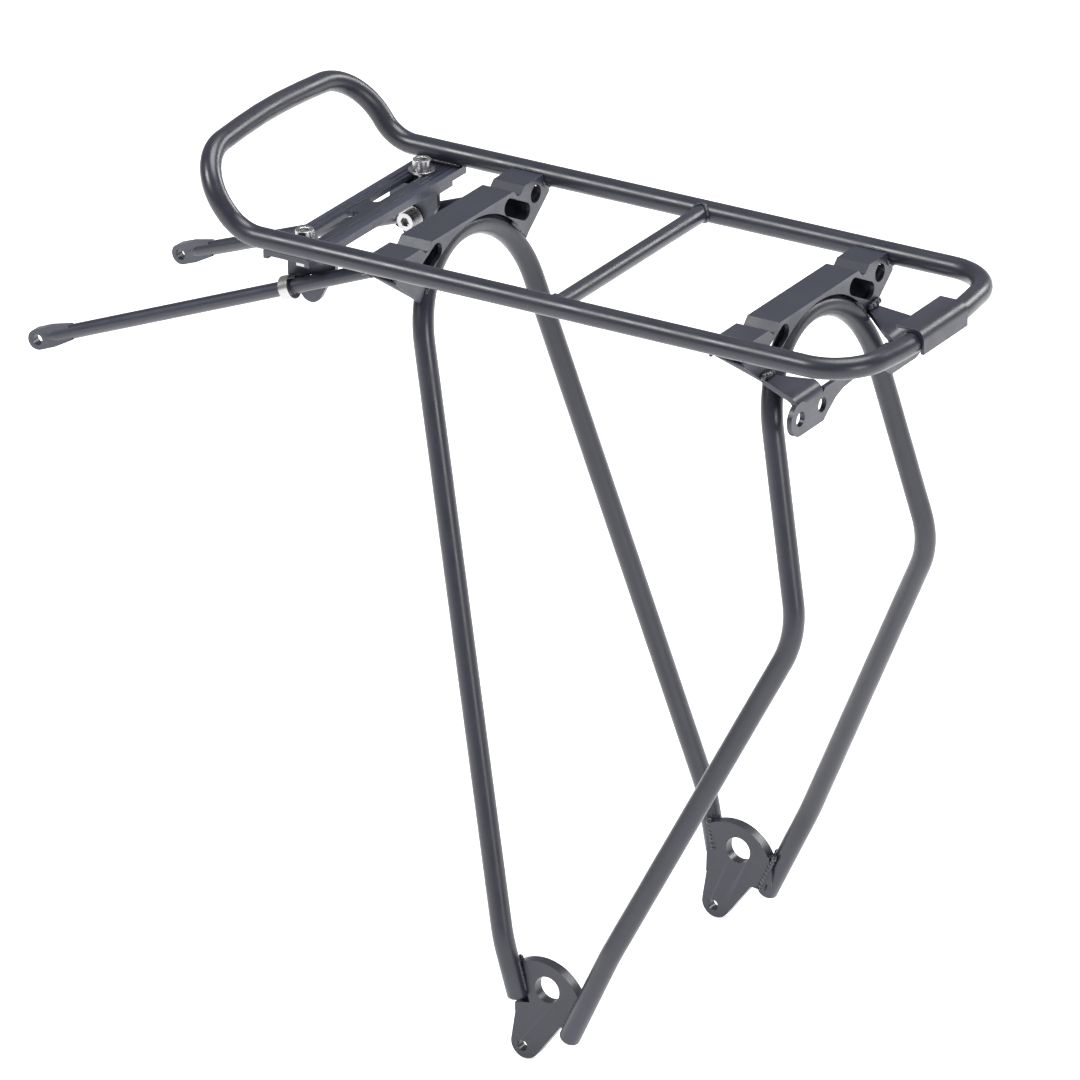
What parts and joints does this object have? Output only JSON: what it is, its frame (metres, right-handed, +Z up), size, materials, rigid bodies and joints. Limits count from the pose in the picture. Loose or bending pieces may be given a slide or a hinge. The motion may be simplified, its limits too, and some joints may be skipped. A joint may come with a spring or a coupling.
{
  "type": "bicycle rear rack",
  "caption": "Tubular rack that carries panniers over a bicycle's rear wheel, with arched struts, dropout plates, a light bracket and adjustable stays.",
  "frame": {"origin": "midpoint of the line through the two dropout bolt holes", "axes": "+X to the rear of the bicycle, +Y to its right-hand side, +Z up"},
  "size_m": [0.4525, 0.1894, 0.4046],
  "materials": {
    "coat": "satin dark slate powder coat",
    "coat_pressed": "satin dark slate powder coat on pressed sheet",
    "steel": "bright stainless steel"
  },
  "bodies": {
    "frame": {"top_loop": "coat", "loop_joint_sleeve": "coat", "loop_joint_spigot": "steel", "cross_tube": "coat", "front_arch": "coat", "rear_arch": "coat", "leg_plugs": "coat", "front_bridge": "coat_pressed", "rear_bridge": "coat_pressed", "light_bracket": "coat", "stay_rail": "coat_pressed", "dropout_left": "coat", "dropout_right": "coat"},
    "slot_bolt_left": {"slot_bolt_left": "steel", "slot_washer_left": "steel", "slot_nut_left": "steel"},
    "angle_bracket_left": {"angle_bracket_left": "coat"},
    "clamp_left": {"clamp_eye_left": "steel", "clamp_bolt_left": "steel", "clamp_washer_left": "steel"},
    "stay_left": {"stay_left": "coat"},
    "slot_bolt_right": {"slot_bolt_right": "steel", "slot_washer_right": "steel", "slot_nut_right": "steel"},
    "angle_bracket_right": {"angle_bracket_right": "coat"},
    "clamp_right": {"clamp_eye_right": "steel", "clamp_bolt_right": "steel", "clamp_washer_right": "steel"},
    "stay_right": {"stay_right": "coat"}
  },
  "joints": [
    {"name": "bracket_slide_left", "type": "slide", "parent": "frame", "child": "slot_bolt_left", "axis": [0, 1, 0], "range_m": [-0.003, 0.024]},
    {"name": "bracket_swing_left", "type": "hinge", "parent": "slot_bolt_left", "child": "angle_bracket_left", "pos_m": [-0.136, -0.0492, 0.352], "axis": [0, 0, 1], "range_deg": [-8, 20]},
    {"name": "clamp_tilt_left", "type": "hinge", "parent": "angle_bracket_left", "child": "clamp_left", "pos_m": [-0.144, -0.0506, 0.3323], "axis": [0, 1, 0], "range_deg": [-8, 25]},
    {"name": "stay_slide_left", "type": "slide", "parent": "clamp_left", "child": "stay_left", "axis": [-0.9319, -0.0606, -0.3577], "range_m": [-0.004, 0.035]},
    {"name": "bracket_slide_right", "type": "slide", "parent": "frame", "child": "slot_bolt_right", "axis": [0, -1, 0], "range_m": [-0.003, 0.024]},
    {"name": "bracket_swing_right", "type": "hinge", "parent": "slot_bolt_right", "child": "angle_bracket_right", "pos_m": [-0.136, 0.0492, 0.352], "axis": [0, 0, -1], "range_deg": [-8, 20]},
    {"name": "clamp_tilt_right", "type": "hinge", "parent": "angle_bracket_right", "child": "clamp_right", "pos_m": [-0.137, 0.0506, 0.33499], "axis": [0, 1, 0], "range_deg": [-8, 25]},
    {"name": "stay_slide_right", "type": "slide", "parent": "clamp_right", "child": "stay_right", "axis": [-0.9319, 0.0606, -0.3577], "range_m": [-0.004, 0.035]}
  ]
}
